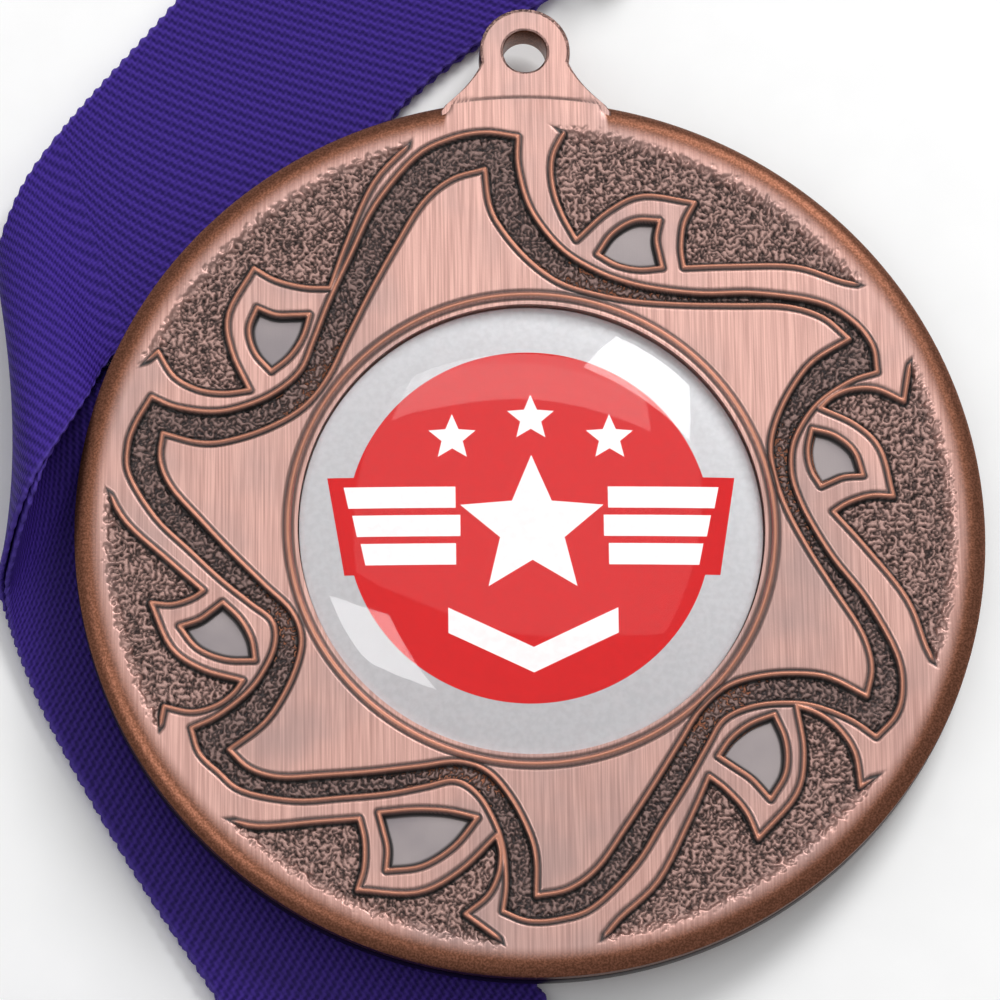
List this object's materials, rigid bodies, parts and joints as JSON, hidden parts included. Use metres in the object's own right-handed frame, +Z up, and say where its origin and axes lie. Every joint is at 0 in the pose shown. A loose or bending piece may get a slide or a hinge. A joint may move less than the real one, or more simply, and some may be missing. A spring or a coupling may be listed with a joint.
{
  "type": "finisher medal",
  "caption": "Round antique bronze medal with a domed centre insert and a hole in its ear, lying on its folded neck ribbon with a wire bail.",
  "frame": {"origin": "bottom centre of the whole object's box, on the surface it lies on", "axes": "+Z up out of the medal's face, +Y towards the medal's ear and along the object's length, +X to the right of the face"},
  "size_m": [0.0596, 0.0994, 0.0088],
  "materials": {
    "bronze": "antique bronze plate, brushed on the high faces and dark in the recesses",
    "adhesive": "white double-sided tape",
    "print": "printed paper disc, red device on silver grey",
    "resin": "clear poured polyurethane dome",
    "tape": "woven polyester ribbon, purple",
    "thread": "polyester sewing thread, purple",
    "elastic": "flat black elastic band",
    "wire": "antique bronze plated wire"
  },
  "bodies": {
    "ribbon": {"ribbon_strand": "tape", "ribbon_hem": "tape", "hem_stitching": "thread", "ribbon_hank": "tape", "hank_tie": "elastic"},
    "medal": {"medal_body": "bronze", "insert_adhesive": "adhesive", "printed_disc": "print", "resin_dome": "resin"},
    "bail": {"ribbon_bail": "wire"}
  },
  "joints": [
    {"name": "medal_lift", "type": "slide", "parent": "ribbon", "child": "medal", "axis": [0, 0, 1], "range_m": [0, 0.03]},
    {"name": "bail_swing", "type": "hinge", "parent": "ribbon", "child": "bail", "pos_m": [0.00433, 0.04164, 0.00165], "axis": [0.6896, -0.7242, 0], "range_deg": [0, 150]}
  ]
}
